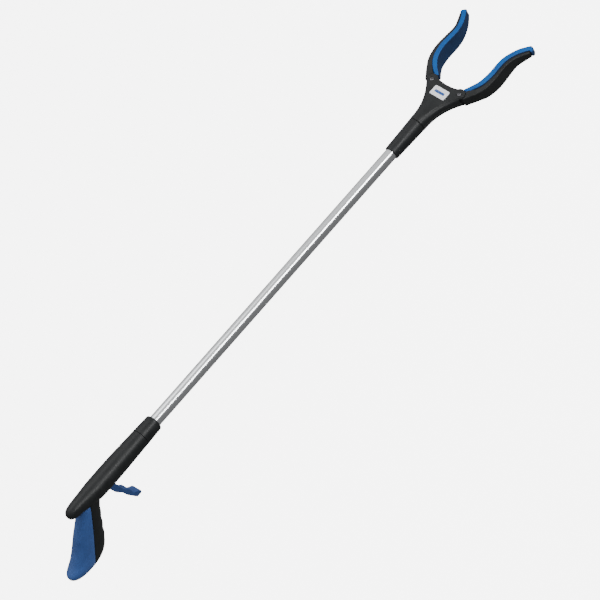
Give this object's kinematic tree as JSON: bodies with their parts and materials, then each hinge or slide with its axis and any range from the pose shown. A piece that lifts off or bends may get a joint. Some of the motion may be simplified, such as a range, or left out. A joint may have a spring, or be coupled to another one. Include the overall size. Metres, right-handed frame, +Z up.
{
  "type": "reacher grabber",
  "caption": "Reacher grabber with a pistol grip, a finger trigger, a fluted tube and a pair of bowed rubber-lined jaws that close together when the trigger is squeezed.",
  "frame": {"origin": "centre of the bounding box in X and Y, lowest point of the grip in Z", "axes": "+X along the tube towards the jaws, +Y to the left, +Z up away from the grip"},
  "size_m": [0.8732, 0.1208, 0.1039],
  "materials": {
    "black_plastic": "satin moulded",
    "inner_plastic": "moulded",
    "soft_blue_grip": "soft, finely textured",
    "trigger_blue": "satin moulded",
    "jaw_rubber": "matte",
    "anodised_tube": "satin anodised",
    "plated_steel": "plated",
    "label_white": "coated label"
  },
  "bodies": {
    "frame": {"handle_shell_left": "black_plastic", "handle_shell_right": "black_plastic", "grip_pad": "soft_blue_grip", "nose_ring": "black_plastic", "handle_screw_1": "plated_steel", "handle_screw_2": "plated_steel", "handle_screw_3": "plated_steel", "handle_screw_4": "plated_steel", "trigger_pin": "plated_steel", "spring_seat": "inner_plastic", "shaft_tube": "anodised_tube", "lock_pin_handle": "plated_steel", "lock_pin_head": "plated_steel", "rod_guide_handle": "inner_plastic", "rod_guide_head": "inner_plastic", "neck_collar": "black_plastic", "head_shell_upper": "black_plastic", "head_shell_lower": "black_plastic", "pivot_screw_left": "plated_steel", "pivot_screw_right": "plated_steel", "pivot_bush_left": "plated_steel", "pivot_bush_right": "plated_steel", "head_screw_left": "plated_steel", "head_screw_right": "plated_steel", "face_label": "label_white"},
    "trigger": {"trigger": "trigger_blue", "crank_pin": "plated_steel"},
    "pull_rod": {"rod_clevis": "inner_plastic", "pull_rod": "plated_steel", "return_spring": "plated_steel", "crosshead": "inner_plastic", "crosshead_pin_left": "plated_steel", "crosshead_pin_right": "plated_steel"},
    "jaw_left": {"jaw_arm_left": "black_plastic", "jaw_pad_left": "jaw_rubber"},
    "jaw_right": {"jaw_arm_right": "black_plastic", "jaw_pad_right": "jaw_rubber"}
  },
  "joints": [
    {"name": "trigger_hinge", "type": "hinge", "parent": "frame", "child": "trigger", "pos_m": [-0.3352, 0, 0.0965], "axis": [0, 1, 0], "range_deg": [0, 28], "stiffness_Nm_per_rad": 0.8, "springref_deg": -14.32},
    {"name": "rod_slide", "type": "slide", "parent": "frame", "child": "pull_rod", "axis": [-1, 0, 0], "range_m": [0, 0.00485], "deforming": ["return_spring"]},
    {"name": "jaw_left_hinge", "type": "hinge", "parent": "frame", "child": "jaw_left", "pos_m": [0.3321, 0.0235, 0.09], "axis": [0, 0, -1], "range_deg": [0, 28.6]},
    {"name": "jaw_right_hinge", "type": "hinge", "parent": "frame", "child": "jaw_right", "pos_m": [0.3321, -0.0235, 0.09], "axis": [0, 0, 1], "range_deg": [0, 28.6]}
  ],
  "couplings": [
    {"joint": "rod_slide", "follows": "trigger_hinge", "m_per_rad": 0.009898},
    {"joint": "jaw_left_hinge", "follows": "trigger_hinge", "ratio": 1.0179},
    {"joint": "jaw_right_hinge", "follows": "trigger_hinge", "ratio": 1.0179}
  ]
}
